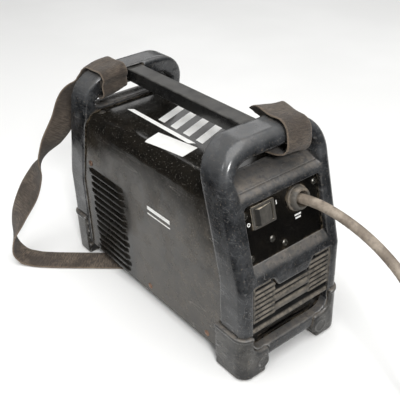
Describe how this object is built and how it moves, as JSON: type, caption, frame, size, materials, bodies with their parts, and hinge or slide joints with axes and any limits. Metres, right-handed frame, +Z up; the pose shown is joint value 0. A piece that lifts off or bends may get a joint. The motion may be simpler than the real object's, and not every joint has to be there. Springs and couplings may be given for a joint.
{
  "type": "stick welding inverter",
  "caption": "Portable arc welding power source: steel body between two moulded arch frames, carrying bar, webbing shoulder strap and coiled mains lead.",
  "frame": {"origin": "middle of the footprint of the machine and its shoulder strap, on the surface it stands on; the mains lead, its coil and its plug are not counted", "axes": "+Z up; +Y along the body, out of the mains end; -Y out of the control end; +X to the side where the shoulder strap stands out"},
  "size_m": [0.417, 0.7536, 0.2814],
  "materials": {
    "frame_plastic": "satin moulded charcoal plastic, blue-grey, dusty on its ledges",
    "bumper_rubber": "dull moulded rubber, a little lighter than the frames",
    "case_paint": "glossy black powder coat with fine scratches",
    "panel_paint": "black semi-gloss paint",
    "handle_paint": "satin black with worn edges",
    "control_plastic": "black-brown plastic",
    "gland_plastic": "dusty grey plastic",
    "cord_rubber": "dusty grey-brown rubber",
    "webbing": "woven webbing, dusty at its edges",
    "zinc": "zinc plated",
    "brass": "plain brass",
    "copper": "plain copper",
    "aluminium": "extruded",
    "circuit_board": "green solder mask",
    "ferrite": "matte dark grey",
    "winding": "enamelled copper",
    "capacitor_sleeve": "dark blue sleeve",
    "fan_plastic": "black",
    "display_window": "dark red tinted",
    "lens_green": "green lens",
    "lens_amber": "amber lens"
  },
  "bodies": {
    "machine": {"switch_body": "control_plastic", "cable_gland": "gland_plastic", "gland_nut": "gland_plastic", "mains_panel_screw_1": "zinc", "mains_panel_screw_2": "zinc", "mains_panel_screw_3": "zinc", "mains_panel_screw_4": "zinc", "mains_panel_screw_5": "zinc", "mains_frame": "frame_plastic", "vent_louvre": "frame_plastic", "mains_panel": "panel_paint", "mains_bumper_left": "bumper_rubber", "mains_bumper_right": "bumper_rubber", "potentiometer": "zinc", "display_window": "display_window", "control_board": "circuit_board", "led_power": "lens_green", "led_fault": "lens_amber", "control_panel_screw_1": "zinc", "control_panel_screw_2": "zinc", "control_panel_screw_3": "zinc", "control_panel_screw_4": "zinc", "control_frame": "frame_plastic", "control_panel": "panel_paint", "control_bumper_left": "bumper_rubber", "control_bumper_right": "bumper_rubber", "socket_plus": "control_plastic", "socket_minus": "control_plastic", "socket_contact_plus": "brass", "socket_contact_minus": "brass", "busbar_plus": "copper", "busbar_minus": "copper", "case_cover": "case_paint", "base_pan": "case_paint", "handle_bar": "handle_paint", "fan_frame": "fan_plastic", "heatsink_tray": "fan_plastic", "heatsink_left": "aluminium", "heatsink_right": "aluminium", "main_board": "circuit_board", "board_standoff_1": "brass", "board_standoff_2": "brass", "board_standoff_3": "brass", "board_standoff_4": "brass", "bulk_capacitor_1": "capacitor_sleeve", "bulk_capacitor_2": "capacitor_sleeve", "transformer_core": "ferrite", "transformer_winding": "winding", "output_choke": "winding", "shoulder_strap": "webbing", "mains_cord_run": "cord_rubber", "mains_cord_coil": "cord_rubber", "mains_cord_tail": "cord_rubber", "mains_plug": "control_plastic", "mains_plug_pin_1": "brass", "mains_plug_pin_2": "brass"},
    "rocker": {"switch_rocker": "control_plastic"},
    "knob": {"current_knob": "control_plastic"},
    "button": {"mode_button": "control_plastic"},
    "rotor": {"fan_rotor": "fan_plastic"}
  },
  "joints": [
    {"name": "rocker_tilt", "type": "hinge", "parent": "machine", "child": "rocker", "pos_m": [0.00479, 0.17279, 0.19293], "axis": [0, -0.2309, 0.973], "range_deg": [-20, 0]},
    {"name": "knob_turn", "type": "hinge", "parent": "machine", "child": "knob", "pos_m": [0.00449, -0.13421, 0.17903], "axis": [0, -0.973, 0.2309], "range_deg": [-135, 135]},
    {"name": "button_press", "type": "slide", "parent": "machine", "child": "button", "axis": [0, 0.973, -0.2309], "range_m": [0, 0.002], "stiffness_N_per_m": 900, "springref_m": -0.0005},
    {"name": "fan_spin", "type": "hinge", "parent": "machine", "child": "rotor", "pos_m": [-0.02151, 0.17248, 0.073], "axis": [0, 1, 0], "continuous": true}
  ]
}
